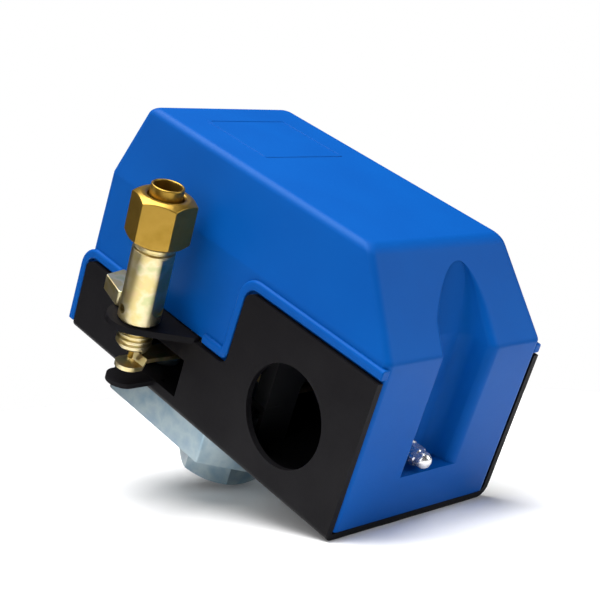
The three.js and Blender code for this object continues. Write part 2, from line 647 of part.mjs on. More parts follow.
function valveBody() {
  const { barrelRadius, barrelTop, threadRadius } = VALVE;
  const crest = threadRadius;
  const root = threadRadius - 0.4;
  const pitch = 1.2;
  const thread = [];
  for (let z = -6.4; z < -pitch - SHEET; z += pitch) {
    thread.push([root, z], [crest, z + pitch * 0.35], [crest, z + pitch * 0.6]);
  }
  const body = turned(closed([
    [1, -6.6], [root - 0.2, -6.6], ...thread, [crest, -SHEET], [crest, GAP], [barrelRadius, GAP],
    [barrelRadius, barrelTop - 0.9], [barrelRadius - 0.35, barrelTop - 0.7],
    [barrelRadius - 0.35, barrelTop - 0.4], [barrelRadius, barrelTop - 0.2],
    [barrelRadius, barrelTop], [4.2, barrelTop], [4.2, 25.4], [3.5, 25.4], [3.3, 25],
    [3.3, 13], [2.4, 13], [2.4, 2], [1, 2],
  ]), 24);
  const wrenchFlat = box([4.15, 8], [-6, 6], [GAP + 2.4, barrelTop - 1.2]);
  wrenchFlat.rotateZ(THREE.MathUtils.degToRad(20));
  const bleedHole = bar(0.95, 2, 6, 0, 0, 16).rotateX(Math.PI / 2);
  bleedHole.rotateZ(THREE.MathUtils.degToRad(-10.6)).translate(0, 0, 2.9);
  return cut(body, wrenchFlat, bleedHole);
}

function valveStem() {
  return turned([
    [0, -9.8], [0.35, -9.8], [0.6, -9.5], [0.6, 2.3], [2, 2.3], [2, 4.8], [1, 5.2], [1, 6.4],
    [0, 6.4],
  ], 20);
}

const springRetainer = () =>
  turned(closed([[1.2, 13.3], [3, 13.3], [3, 14.1], [1.2, 14.1]]), 24);

function compressionNut() {
  const { across, bottom, top, turn } = VALVE_NUT;
  const mouth = FERRULE.outer + GAP;
  const bore = turned([
    [0, bottom - 1], [4.5, bottom - 1], [4.5, 25.7], [mouth, 26.2], [mouth, top + 1], [0, top + 1],
  ]);
  const nut = cut(hexBar(across, bottom, top, across / 2 - 0.25), bore);
  return nut.rotateZ(THREE.MathUtils.degToRad(turn));
}

function ferrule() {
  const { outer, inner, bottom, top } = FERRULE;
  const edge = 0.2;
  return turned(closed([
    [inner, bottom], [outer - edge, bottom], [outer, bottom + 0.7], [outer, top - edge],
    [outer - edge, top], [inner, top],
  ]), 28);
}

const lockPlate = () => slab('xy', polygon([
  [-14.3, 0.4], [-6, -1.9], [-5.5, 0.5], [-4.3, 3.6], [-1, 5.3], [-1, 6.4], [-15.6, 6.4],
]), GAP, 3.9);

// ---------------------------------------------------------------- assembly

piece('chassis', chassis(), blackPaint);
piece('cover', cover(), bluePlastic);
piece('cover_screw', coverScrew(), nickel);
piece('cover_clip_nut', clipNut(), zinc);

piece('port_flange', portFlange(), zinc);
piece('diaphragm', diaphragm(), rubber);
piece('piston', piston(), zinc);
flangeScrewPlaces.forEach(([x, y], i) => {
  piece(`flange_screw_${i + 1}`, panScrew(3.8, 2.6, 2, 8.5, FLOOR + GAP), zinc).position.set(x, y, 0);
});

piece('main_lever', mainLever(), yellowZinc);
piece('lever_pin', leverPin(), zinc);
piece('unloader_arm', unloaderArm(), yellowZinc);
piece('arm_rivet', armRivet(), zinc);
piece('range_stud', stud(RANGE, 4.4), zinc);
piece('range_nut', adjustingNut(RANGE, 13, 7), zinc);
piece('range_spring', studSpring(RANGE), springSteel);
piece('differential_stud', stud(DIFFERENTIAL, 3.1), zinc);
piece('differential_nut', adjustingNut(DIFFERENTIAL, 8, 5), zinc);
piece('differential_spring', studSpring(DIFFERENTIAL), springSteel);

piece('contact_block', contactBlock(), blackPlastic);
blockScrewPlaces.forEach(([x, y], i) => {
  const screw = panScrew(2.9, 2, 1.6, 8, 0).rotateX(Math.PI).translate(x, y, UNDERSIDE - GAP);
  piece(`block_screw_${i + 1}`, screw, zinc);
});
piece('contact_plunger', contactPlunger(), blackPlastic);
piece('contact_crossbar', contactCrossbar(), blackPlastic);
piece('contact_spring', spring(4.1, 0.5, PLUNGER.foot + 3.8, BLOCK.bottom - GAP, 6)
  .translate(PLUNGER.x, 0, 0), springSteel);
[-11.5, 11.5].forEach((middle, i) => {
  piece(`contact_bridge_${i + 1}`, contactBridge(middle), copper);
});
TERMINALS.rows.forEach((y, i) => {
  piece(`terminal_plate_${i + 1}`, terminalPlate(y), brass);
  piece(`terminal_screw_${i + 1}`, panScrew(2.9, 2.4, 1.5, 7, BLOCK.top + 1.4), zinc)
    .position.set(TERMINALS.screwX, y, 0);
});
piece('ground_screw', panScrew(3.3, 2.6, 1.75, 3.4, FLOOR + GAP), zinc)
  .position.set(...groundScrewPlace, 0);

piece('valve_body', valveBody(), yellowZinc, valveGroup);
piece('valve_stem', valveStem(), brass, valveGroup);
piece('valve_spring', spring(1.7, 0.28, 5.2, 13, 6), springSteel, valveGroup);
piece('spring_retainer', springRetainer(), brass, valveGroup);
piece('compression_nut', compressionNut(), brass, valveGroup);
piece('ferrule', ferrule(), brass, valveGroup);
piece('valve_lock_plate', lockPlate(), yellowZinc, valveGroup);

const pressureSwitch = new THREE.Group();
pressureSwitch.add(assembly);

export default pressureSwitch;
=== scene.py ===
"""Pressure switch with a side unloader valve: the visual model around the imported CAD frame.

Shapes are built in millimetres in the case's own frame: x runs along the case from its middle,
y to the back, and z up from the cover's foot. CASE turns them into metres in the shared frame.
"""

import math

import bmesh
import bpy
from mathutils import Matrix, Vector


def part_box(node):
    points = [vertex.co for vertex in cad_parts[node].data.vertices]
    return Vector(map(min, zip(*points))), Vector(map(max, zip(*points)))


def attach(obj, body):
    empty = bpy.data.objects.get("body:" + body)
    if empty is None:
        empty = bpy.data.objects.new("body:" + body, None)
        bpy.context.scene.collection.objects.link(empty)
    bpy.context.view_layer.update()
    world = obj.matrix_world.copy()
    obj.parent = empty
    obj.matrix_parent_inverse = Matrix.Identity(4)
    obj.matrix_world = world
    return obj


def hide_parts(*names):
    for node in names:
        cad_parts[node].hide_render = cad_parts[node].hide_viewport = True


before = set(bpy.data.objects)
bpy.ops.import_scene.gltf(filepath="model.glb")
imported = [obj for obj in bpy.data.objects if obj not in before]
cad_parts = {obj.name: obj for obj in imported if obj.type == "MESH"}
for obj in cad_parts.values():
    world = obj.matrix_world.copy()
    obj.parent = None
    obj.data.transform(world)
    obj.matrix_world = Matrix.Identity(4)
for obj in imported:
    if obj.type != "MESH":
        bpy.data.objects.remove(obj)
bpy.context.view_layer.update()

# ---------------------------------------------------------------- driving dimensions, mm

MM = 0.001
GAP = 0.3
LEFT, RIGHT, HALF = -46.0, 46.1, 26.0
COVER_TOP = 57.06
SHEET = 1.5
UNDERSIDE = -1.2
FLOOR = UNDERSIDE + SHEET
INNER = HALF - SHEET
FRONT_BEND, BACK_BEND = 1.7, 3.0
LOW_TOP, EAR_TOP = 17.1, 35.4
STEP_FOOT, STEP_HEAD = 6.1, 6.5
PANEL_CORNER = 2.3
CONDUIT_X, CONDUIT_Z, CONDUIT_R = 25.8, 16.2, 11.1
WINDOW = (-22, -6, 2.3, 11.6)
SKIRT = 24.1
BEAD_GAP, BEAD_WIDTH, BEAD_FACE = 0.7, 2.2, 25.6
TAB_LEFT, TAB_RIGHT, TAB_TOP, TAB_LEAN = -23.2, -4.8, 18.0, 2.2
BEAD_CUT, BEAD_END = -3.0, 46.15
PORT_X, PORT_LENGTH, FLANGE_FOOT = -11.3, 23.8, -11.0
FLANGE_SCREWS = [(PORT_X + 13 * a, 14.5 * b) for a, b in ((-1, -1), (1, -1), (1, 1), (-1, 1))]
BLOCK_SCREWS = [(12, -17), (12, 17)]
GROUND_SCREW = (31, 15)
TERMINAL_ROWS = (-15.5, -7.5, 7.5, 15.5)
SCREW_Y, SCREW_Z, SCREW_SEAT = -1.6, 13.25, 40.3
VALVE = (-15.7, -33.3, 17.6)
NUT_TURN = 12

x_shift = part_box("chassis")[0].x / MM - LEFT
z_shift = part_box("cover")[1].z / MM - COVER_TOP
CASE = Matrix.Translation((x_shift * MM, 0, z_shift * MM)) @ Matrix.Scale(MM, 4)
VALVE_AXIS = CASE @ Matrix.Translation(VALVE) @ Matrix.Rotation(math.radians(TAB_LEAN), 4, "X")

# ---------------------------------------------------------------- mesh building


def solid(verts, faces):
    """An object from points and faces, with coincident points merged and faces outward."""
    mesh = bpy.data.meshes.new("solid")
    mesh.from_pydata([tuple(v) for v in verts], [], faces)
    work = bmesh.new()
    work.from_mesh(mesh)
    bmesh.ops.remove_doubles(work, verts=work.verts, dist=1e-4)
    bmesh.ops.dissolve_degenerate(work, edges=work.edges, dist=1e-4)
    bmesh.ops.recalc_face_normals(work, faces=work.faces)
    work.to_mesh(mesh)
    work.free()
    obj = bpy.data.objects.new("solid", mesh)
    bpy.context.scene.collection.objects.link(obj)
    return obj


def loft(loops, closed=False):
    """Closed loops joined one to the next, with the two ends capped or joined to each other."""
    size, rows = len(loops[0]), len(loops)
    faces = []
    for row in range(rows if closed else rows - 1):
        low, high = row * size, (row + 1) % rows * size
        for j in range(size):
            k = (j + 1) % size
            faces.append((low + j, low + k, high + k, high + j))
    if not closed:
        faces.append(tuple(reversed(range(size))))
        faces.append(tuple(range((rows - 1) * size, rows * size)))
    return solid([point for loop in loops for point in loop], faces)


def spun(profile, steps=72, closed=False):
    """A body about Z from (radius, height) pairs. Either may be a function of the angle."""
    angles = [2 * math.pi * k / steps for k in range(steps)]

    def at(value, angle):
        return value(angle) if callable(value) else value

    return loft([[(at(r, a) * math.cos(a), at(r, a) * math.sin(a), at(z, a)) for a in angles]
                 for r, z in profile], closed)


def hexagon(across):
    """The radius of a hexagon at an angle, with a flat across the X axis."""
    sector = math.pi / 3
    return lambda a: across / 2 / math.cos((a + sector / 2) % sector - sector / 2)


def chamfer(across, rim, face, side):
    """The height where a hexagon's sides meet the cone that starts at rim on the end face."""
    radius = hexagon(across)
    return lambda a: face - side * max(0, radius(a) - rim) * math.tan(math.radians(30))


def rounded(corners, steps=7):
    """A closed outline whose (x, y, radius) corners are true arcs, shortened where sides are short."""
    points = []
    for i, (x, y, radius) in enumerate(corners):
        here = Vector((x, y))
        before = Vector(corners[i - 1][:2]) - here
        after = Vector(corners[(i + 1) % len(corners)][:2]) - here
        if radius == 0:
            points.append((x, y))
            continue
        if min(before.length, after.length) < 1e-5 or before.angle(after) > math.pi - 1e-3:
            points += [(x, y)] * (steps + 1)
            continue
        half = before.angle(after) / 2
        reach = min(radius / math.tan(half), before.length * 0.49, after.length * 0.49)
        radius = reach * math.tan(half)
        before.normalize()
        after.normalize()
        centre = here + (before + after).normalized() * (radius / math.sin(half))
        first, last = here + before * reach - centre, here + after * reach - centre
        start = math.atan2(first.y, first.x)
        sweep = (math.atan2(last.y, last.x) - start + math.pi) % (2 * math.pi) - math.pi
        for k in range(steps + 1):
            angle = start + sweep * k / steps
            points.append((centre.x + radius * math.cos(angle), centre.y + radius * math.sin(angle)))
    return points


PLANES = {
    "xy": lambda u, v, w: (u, v, w),
    "xz": lambda u, v, w: (u, w, v),
    "yz": lambda u, v, w: (w, u, v),
}


def prism(outline, low, high, plane="xy"):
    """An outline in a plane, drawn out between two levels across it."""
    at = PLANES[plane]
    return loft([[at(u, v, w) for u, v in outline] for w in (low, high)])


def box(xs, ys, zs):
    (x0, x1), (y0, y1) = xs, ys
    return prism([(x0, y0), (x1, y0), (x1, y1), (x0, y1)], *zs)


def bar(radius, low, high, steps=48, at=(0, 0, 0), along="Z"):
    """A round cutting tool."""
    obj = spun([(0, low), (radius, low), (radius, high), (0, high)], steps)
    turn = {"Z": Matrix(), "X": Matrix.Rotation(math.pi / 2, 4, "Y"),
            "Y": Matrix.Rotation(-math.pi / 2, 4, "X")}[along]
    obj.data.transform(Matrix.Translation(at) @ turn)
    return obj


def bake(obj):
    """The object's mesh with its modifiers applied."""
    bpy.context.view_layer.update()
    shown = obj.evaluated_get(bpy.context.evaluated_depsgraph_get())
    mesh = bpy.data.meshes.new_from_object(shown)
    obj.modifiers.clear()
    obj.data = mesh
    return obj


def combine(operation, body, tools):
    for tool in tools:
        modifier = body.modifiers.new("combine", "BOOLEAN")
        modifier.operation = operation
        modifier.solver = "MANIFOLD"
        modifier.object = tool
    bake(body)
    for tool in tools:
        bpy.data.objects.remove(tool)
    return body


def cut(body, *tools):
    return combine("DIFFERENCE", body, tools)


def join(body, *others):
    return combine("UNION", body, others)


def common(body, *others):
    return combine("INTERSECT", body, others)


def coil(radius, wire, low, high, turns, steps=28, sides=10):
    """A compression spring of round wire, with a closed turn at each end."""
    pitch = wire * 2.3
    z0, z1 = low + wire * 1.3, high - wire * 1.3
    open_pitch = (z1 - z0 - 2 * pitch) / (turns - 2)
    loops = []
    for k in range(int(turns * steps) + 1):
        turn = k / steps
        rise = pitch * turn if turn < 1 else pitch + open_pitch * (turn - 1)
        if turn > turns - 1:
            rise = z1 - z0 - pitch * (turns - turn)
        angle = 2 * math.pi * turn
        out = Vector((math.cos(angle), math.sin(angle), 0))
        centre = out * radius + Vector((0, 0, z0 + rise))
        around = [2 * math.pi * j / sides for j in range(sides)]
        loops.append([centre + out * wire * math.cos(a) + Vector((0, 0, wire * math.sin(a)))
                      for a in around])
    return loft(loops)


def thread(crest, root, pitch, low, high, steps=40):
    """A screw thread as one closed helical ridge that fades into its core at both ends."""
    turns = (high - low) / pitch
    shape = [(0, 0.0), (0, 0.12), (1, 0.42), (1, 0.58), (0, 0.88), (0, 1.0), (-1, 0.5)]
    loops = []
    for k in range(int(turns * steps) + 1):
        turn = k / steps
        fade = min(1, turn * 2.5, (turns - turn) * 2.5)
        angle = 2 * math.pi * turn
        loop = []
        for height, along in shape:
            radius = root + (crest - root) * fade * height if height >= 0 else root - 0.3
            z = low + pitch * (turn - 0.5 + along)
            loop.append((radius * math.cos(angle), radius * math.sin(angle), z))
        loops.append(loop)
    return loft(loops)


# ---------------------------------------------------------------- materials


def finish(name, colours, metallic, roughness, spread=0.05, patch=60, grain=1500, bump=0.1,
           depth=0.02, stretch=(1, 1, 1), gloss=0.5, tint=(1, 1, 1)):
    """A procedural material: colour drifts between the given ones, and fine grain stirs the surface."""
    material = bpy.data.materials.new(name)
    material.use_nodes = True
    nodes, links = material.node_tree.nodes, material.node_tree.links
    shader = nodes["Principled BSDF"]
    shader.inputs["Metallic"].default_value = metallic
    shader.inputs["Specular IOR Level"].default_value = gloss
    shader.inputs["Specular Tint"].default_value = (*tint, 1)
    place = nodes.new("ShaderNodeTexCoord")

    clouds = nodes.new("ShaderNodeTexNoise")
    clouds.inputs["Scale"].default_value = patch
    clouds.inputs["Detail"].default_value = 3
    links.new(place.outputs["Object"], clouds.inputs["Vector"])
    ramp = nodes.new("ShaderNodeValToRGB")
    for i, colour in enumerate(colours):
        position = 0.3 + 0.4 * i / (len(colours) - 1)
        if i < 2:
            ramp.color_ramp.elements[i].position = position
        else:
            ramp.color_ramp.elements.new(position)
        ramp.color_ramp.elements[i].color = (*colour, 1)
    links.new(clouds.outputs["Fac"], ramp.inputs["Fac"])
    links.new(ramp.outputs["Color"], shader.inputs["Base Color"])

    mapping = nodes.new("ShaderNodeMapping")
    mapping.inputs["Scale"].default_value = stretch
    links.new(place.outputs["Object"], mapping.inputs["Vector"])
    fine = nodes.new("ShaderNodeTexNoise")
    fine.inputs["Scale"].default_value = grain
    fine.inputs["Detail"].default_value = 4
    links.new(mapping.outputs["Vector"], fine.inputs["Vector"])
    rough = nodes.new("ShaderNodeMapRange")
    rough.inputs["To Min"].default_value = roughness - spread
    rough.inputs["To Max"].default_value = roughness + spread
    links.new(fine.outputs["Fac"], rough.inputs["Value"])
    links.new(rough.outputs["Result"], shader.inputs["Roughness"])
    relief = nodes.new("ShaderNodeBump")
    relief.inputs["Strength"].default_value = bump
    relief.inputs["Distance"].default_value = depth * MM
    links.new(fine.outputs["Fac"], relief.inputs["Height"])
    links.new(relief.outputs["Normal"], shader.inputs["Normal"])
    return material


FINISHES = {
    "blue_plastic": finish("blue_plastic", [(0.0001, 0.063, 0.295), (0.0002, 0.070, 0.315)], 0, 0.5,
                           grain=2600, bump=0.25, depth=0.012, gloss=0.2,
                           tint=(0.2, 0.5, 1.0)),
    "black_paint": finish("black_paint", [(0.0055, 0.005, 0.006), (0.009, 0.0085, 0.0095)], 0, 0.42,
                          spread=0.08, gloss=0.05, grain=1100, bump=0.9, depth=0.03),
    "zinc": finish("zinc", [(0.23, 0.31, 0.37), (0.31, 0.38, 0.41), (0.20, 0.29, 0.35)], 1, 0.33,
                   spread=0.1, patch=180, grain=2500, bump=0.25),
    "yellow_zinc": finish("yellow_zinc", [(0.58, 0.42, 0.23), (0.56, 0.46, 0.20), (0.62, 0.53, 0.33),
                                          (0.46, 0.46, 0.24)], 1, 0.34,
                          spread=0.08, patch=240, grain=900, bump=0.25, stretch=(1, 1, 9)),
    "brass": finish("brass", [(0.27, 0.16, 0.020), (0.33, 0.20, 0.032), (0.30, 0.18, 0.026)], 0.9, 0.36,
                    spread=0.1, patch=200, grain=700, bump=0.35, stretch=(1, 1, 12)),
    "nickel": finish("nickel", [(0.74, 0.74, 0.74), (0.84, 0.84, 0.83)], 0.85, 0.26, patch=300),
    "spring_steel": finish("spring_steel", [(0.45, 0.46, 0.48), (0.60, 0.61, 0.62)], 1, 0.3),
    "black_plastic": finish("black_plastic", [(0.010, 0.010, 0.011), (0.016, 0.016, 0.017)], 0, 0.5,
                            grain=2200, bump=0.4),
    "rubber": finish("rubber", [(0.008, 0.008, 0.008), (0.014, 0.014, 0.014)], 0, 0.8, bump=0.5),
    "contact_copper": finish("contact_copper", [(0.80, 0.42, 0.26), (0.86, 0.52, 0.34)], 1, 0.3,
                             patch=250, stretch=(1, 1, 6)),
}


def piece(obj, name, body, slot, node=None, matrix=CASE, bevel=0.0, segments=2, sharp=35):
    """Puts a shape in the shared frame, shades it, hangs it on its body, and hides the CAD node it
    takes the place of.
    """
    obj.data.transform(matrix)
    obj.name = obj.data.name = name
    for face in obj.data.polygons:
        face.use_smooth = True
    obj.data.set_sharp_from_angle(angle=math.radians(sharp))
    if bevel:
        edge = obj.modifiers.new("edges", "BEVEL")
        edge.width = bevel * MM
        edge.segments = segments
        edge.limit_method = "ANGLE"
        edge.angle_limit = math.radians(sharp)
    even = obj.modifiers.new("even", "WEIGHTED_NORMAL")
    even.keep_sharp = True
    obj.data.materials.clear()
    obj.data.materials.append(FINISHES[slot])
    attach(obj, body)
    if node:
        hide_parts(node)
    return obj


def refined(node, body, slot, bevel=0.2, sharp=35):
    """A CAD node's own shape with merged faces, softened edges and smooth round faces."""
    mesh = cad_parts[node].data
    obj = solid([v.co / MM for v in mesh.vertices], [tuple(p.vertices) for p in mesh.polygons])
    work = bmesh.new()
    work.from_mesh(obj.data)
    bmesh.ops.dissolve_limit(work, angle_limit=math.radians(1), verts=work.verts, edges=work.edges)
    work.to_mesh(obj.data)
    work.free()
    return piece(obj, f"{node}_shape", body, slot, node, Matrix.Scale(MM, 4), bevel, sharp=sharp)


# ---------------------------------------------------------------- chassis

PANEL = [(LEFT, UNDERSIDE), (LEFT, LOW_TOP), (STEP_FOOT, LOW_TOP), (STEP_HEAD, EAR_TOP),
         (RIGHT, EAR_TOP)]


def offset_line(points, distance):
    """An open line moved to its left by a distance, with sharp corners."""
    normals = []
    for (x0, y0), (x1, y1) in zip(points, points[1:]):
        length = math.hypot(x1 - x0, y1 - y0)
        normals.append(Vector((-(y1 - y0) / length, (x1 - x0) / length)))
    moved = []
    for i, point in enumerate(points):
        before, after = normals[max(i - 1, 0)], normals[min(i, len(normals) - 1)]
        shift = (before + after) * (distance / (1 + before.dot(after)))
        moved.append((point[0] + shift.x, point[1] + shift.y))
    return moved


def under(points, foot, radius):
    """The closed outline below a line, with the line's own corners rounded."""
    inner = [(x, y, radius) for x, y in points[1:-1]]
    ends = [(*points[0], 0), *inner, (*points[-1], 0)]
    return rounded([*ends, (points[-1][0], foot, 0), (points[0][0], foot, 0)])


def arc(centre_x, centre_y, radius, start, end, steps):
    """Points along an arc, from one angle to another."""
    angles = [start + (end - start) * k / steps for k in range(steps + 1)]
    return [(centre_x + radius * math.cos(a), centre_y + radius * math.sin(a)) for a in angles]


def tab_outline():
    """The valve's tab from above: straight at the panel, with a round nose."""
    nose_x, nose_y, nose_radius = -17.0, -33.5, 6.2
    nose = arc(nose_x, nose_y, nose_radius, math.radians(-28), -math.pi, 28)
    return [(TAB_LEFT, -INNER), (TAB_RIGHT, -INNER), (TAB_RIGHT, -HALF), *nose]


def bent_sheet():
    """The U of sheet, with both panels cut to their stepped outline."""
    above = EAR_TOP + 0.6
    far_above = above + 4
    outside = prism(rounded([(-HALF, UNDERSIDE, FRONT_BEND), (HALF, UNDERSIDE, BACK_BEND),
                             (HALF, above, 0), (-HALF, above, 0)]), LEFT, RIGHT, "yz")
    inside = prism(rounded([(-INNER, FLOOR, FRONT_BEND - SHEET), (INNER, FLOOR, BACK_BEND - SHEET),
                            (INNER, far_above, 0), (-INNER, far_above, 0)]),
                   LEFT - 1, RIGHT + 1, "yz")
    body = cut(outside, inside)
    return common(body, prism(under(PANEL, UNDERSIDE - 1, PANEL_CORNER), -HALF - 1, HALF + 1, "xz"))


def tongue():
    """The rounded tongue below the unloader arm."""
    left, right, nose_y, root = -21.1, -13.5, -32.2, -INNER + 1.5
    bottom, top, steps = 1.0, 2.2, 24
    radius = (right - left) / 2
    nose = [(left + radius - radius * math.cos(math.pi * k / steps),
             nose_y - radius * math.sin(math.pi * k / steps)) for k in range(1, steps)]
    return prism([(left, root), (left, nose_y), *nose, (right, nose_y), (right, root)], bottom, top)


def valve_tab():
    """The tab that holds the unloader valve, leaning a little from the panel."""
    hinge = Vector((0, -INNER, TAB_TOP - SHEET / 2))
    tab = prism(tab_outline(), TAB_TOP - SHEET, TAB_TOP)
    tab.data.transform(Matrix.Translation(hinge) @ Matrix.Rotation(math.radians(TAB_LEAN), 4, "X")
                       @ Matrix.Translation(-hinge))
    return tab


def end_tab():
    """The upright tab whose open slot takes the cover screw."""
    x, half_width, top, slot_half, slot_radius = 35.9, 9, 18.5, 1.9, 1.8
    slot = prism(rounded([(SCREW_Y - slot_half, SCREW_Z - slot_half, slot_radius),
                          (SCREW_Y + slot_half, SCREW_Z - slot_half, slot_radius),
                          (SCREW_Y + slot_half, top + 1.5, 0), (SCREW_Y - slot_half, top + 1.5, 0)]),
                 x - 0.9, x + SHEET + 0.6, "yz")
    return cut(box((x, x + SHEET), (-half_width, half_width), (FLOOR - 0.5, top)), slot)


def pin_lugs():
    """The two upright lugs that carry the lever's pin."""
    left, right, top, corner = -41.5, -34.5, 14.4, 3.2
    pin_radius, pin_x, pin_z = 1.55, -38, 11
    lugs = []
    for low, high in ((-12, -10.5), (10.5, 12)):
        lug = prism(rounded([(left, FLOOR - 0.5, 0), (right, FLOOR - 0.5, 0), (right, top, corner),
                             (left, top, corner)]), low, high, "xz")
        lugs.append(cut(lug, bar(pin_radius, -20, 20, at=(pin_x, 0, pin_z), along="Y")))
    return lugs


def chassis():
    edge_foot = box((RIGHT - SHEET, RIGHT), (-9.5, -3), (UNDERSIDE - 0.5, UNDERSIDE + 0.5))
    body = join(bent_sheet(), tongue(), valve_tab(), end_tab(), *pin_lugs(), edge_foot)

    left, right, bottom, top = WINDOW
    window = prism([(left, bottom), (right, bottom), (right, top), (left, top)],
                   -HALF - 1, -INNER + 2, "xz")
    conduit = bar(CONDUIT_R, -HALF - 1, -INNER + 2, 128, (CONDUIT_X, 0, CONDUIT_Z), "Y")
    valve_hole = bar(4.3, -10, 10, 64)
    valve_hole.data.transform(Matrix.Translation(VALVE)
                              @ Matrix.Rotation(math.radians(TAB_LEAN), 4, "X"))
    below, above = -5, 3
    port_hole = bar(12.5, below, above, 96, (PORT_X, 0, 0))
    tools = [window, conduit, valve_hole, port_hole]
    for radius, places in ((2.3, FLANGE_SCREWS), (1.9, BLOCK_SCREWS), (2.1, [GROUND_SCREW])):
        tools += [bar(radius, below, above, at=(x, y, 0)) for x, y in places]
    return cut(body, *tools)


piece(chassis(), "chassis_shape", "case", "black_paint", "chassis", bevel=0.28, segments=3, sharp=40)

# ---------------------------------------------------------------- cover

CREASE, CREASE_BLEND, CREASE_SOFTNESS = 39.4, 0.6, 0.04
ROOF_RADIUS = 1.7
COVER_WALL = 1.8
FLUTE_FLOOR, FLUTE_HEAD, FLUTE_HEAD_Y = 10.7, 53.6, 3.8
FLUTE_DEPTH, FLUTE_LIP = 7.2, 0.45


def between(z, low, high, at_low, at_high):
    return at_low + (at_high - at_low) * (z - low) / (high - low)


def cover_sides(z):
    """The cover's left end, right end and half width at a height."""
    if z <= CREASE:
        return between(z, 0, CREASE, -47.2, -46.7), 46.2, 24.8
    return (between(z, CREASE, COVER_TOP, -46.7, -42.6), between(z, CREASE, COVER_TOP, 46.2, 30.2),
            between(z, CREASE, COVER_TOP, 24.8, 21.6))


def flute_section(z, inset):
    """The flute's depth, its two sides and its front lip's radius at a height.

    The sides are straight up to the crease and close to an arch above it.
    """
    front, back = -8.2, 8.3
    if z <= CREASE:
        depth = between(z, FLUTE_FLOOR, CREASE, FLUTE_DEPTH - 1, FLUTE_DEPTH)
        return depth, front - inset, between(z, FLUTE_FLOOR, CREASE, 7.9, back) + inset, FLUTE_LIP
    rise = min(1.0, between(z, CREASE, FLUTE_HEAD, 0, 1))
    depth = FLUTE_DEPTH * (1 - rise)
    front = FLUTE_HEAD_Y - (FLUTE_HEAD_Y - front) * math.sqrt(1 - rise ** 1.1)
    back = FLUTE_HEAD_Y + (back - FLUTE_HEAD_Y) * math.sqrt(1 - rise ** 3.5)
    return depth, front - inset, back + inset, FLUTE_LIP + 5 * rise


def cover_section(z, sides, inset, corner, fluted=True):
    """The cover's outline at a height, with or without its flute."""
    left, right, half = sides
    left, right, half = left + inset, right - inset, half - inset
    depth, front, back, lip = flute_section(z, inset)
    depth = depth if fluted else 0.0
    wall, hollow_radius, back_lip = right - depth, 3.4, 2.4
    outline = rounded([
        (left, -half, corner), (right, -half, corner), (right, front, lip),
        (wall, front + depth * 0.06, hollow_radius), (wall, back - depth * 0.22, hollow_radius),
        (right, back, back_lip), (right, half, corner), (left, half, corner)], 8)
    return [(x, y, z) for x, y in outline]


def cover_heights(floor):
    """The levels of the fluted stretch: even up to the crease, closer together towards the head."""
    below, above = 14, 30
    heights = [between(k, 0, below, floor, CREASE - CREASE_BLEND) for k in range(1, below + 1)]
    heights += [CREASE - CREASE_BLEND / 3, CREASE + CREASE_BLEND / 3]
    heights += [between(math.sin(math.pi / 2 * k / above), 0, 1, CREASE + CREASE_BLEND, FLUTE_HEAD)
                for k in range(above + 1)]
    return heights


def cover_form(inset, foot, roof_radius, corner):
    """The closed outer form, or the hollow inside it when it is moved in by a wall."""
    roof = COVER_TOP - inset - roof_radius
    floor = FLUTE_FLOOR - inset
    loops = [cover_section(z, cover_sides(z), inset, corner, fluted=False) for z in (foot, floor)]
    loops.append(cover_section(floor, cover_sides(floor), inset, corner))
    for z in [*cover_heights(floor), roof]:
        left, right, half = cover_sides(z)
        if abs(z - CREASE) < CREASE_BLEND / 2:
            right -= CREASE_SOFTNESS * (1 - abs(z - CREASE) / CREASE_BLEND)
        loops.append(cover_section(z, (left, right, half), inset, corner))
    roof_steps = 6
    for k in range(1, roof_steps + 1):
        angle = math.pi / 2 * k / roof_steps
        z = roof + roof_radius * math.sin(angle)
        pull = roof_radius * (1 - math.cos(angle))
        left, right, half = cover_sides(z)
        loops.append(cover_section(z, (left + pull, right - pull, half - pull), inset, corner))
    return loft(loops)


def panel_pocket(side):
    """A tool that sets the cover's side back where a chassis panel lies over it."""
    reach = sorted((side * 60, side * SKIRT))
    line = offset_line(PANEL, BEAD_GAP)
    line = [(line[0][0], 0), *line[1:-1], (60, line[-1][1])]
    return prism(under(line, -4, PANEL_CORNER), *reach, "xz")


def cover():
    far, screw_hole = 60, 1.7
    shell = cover_form(0, 0, ROOF_RADIUS, 1.8)
    shell = cut(shell, panel_pocket(-1), panel_pocket(1))
    hollow = cover_form(COVER_WALL, -1, 0.6, 0.8)
    inside = SKIRT - COVER_WALL
    hollow = common(hollow, box((-far, far), (-inside, inside), (-2, far)))
    behind = -inside + 1
    conduit_gap = box((8, 42), (-far, behind), (-1, 29))
    tab_gap = box((TAB_LEFT - 1, BEAD_CUT), (-far, behind), (-1, TAB_TOP + 0.4))
    floor_gap = box((LEFT - GAP, far), (-far, far), (-1, FLOOR + GAP))
    return cut(shell, hollow, floor_gap, conduit_gap, tab_gap,
               bar(screw_hole, 30, 50, 32, (0, SCREW_Y, SCREW_Z), "X"))


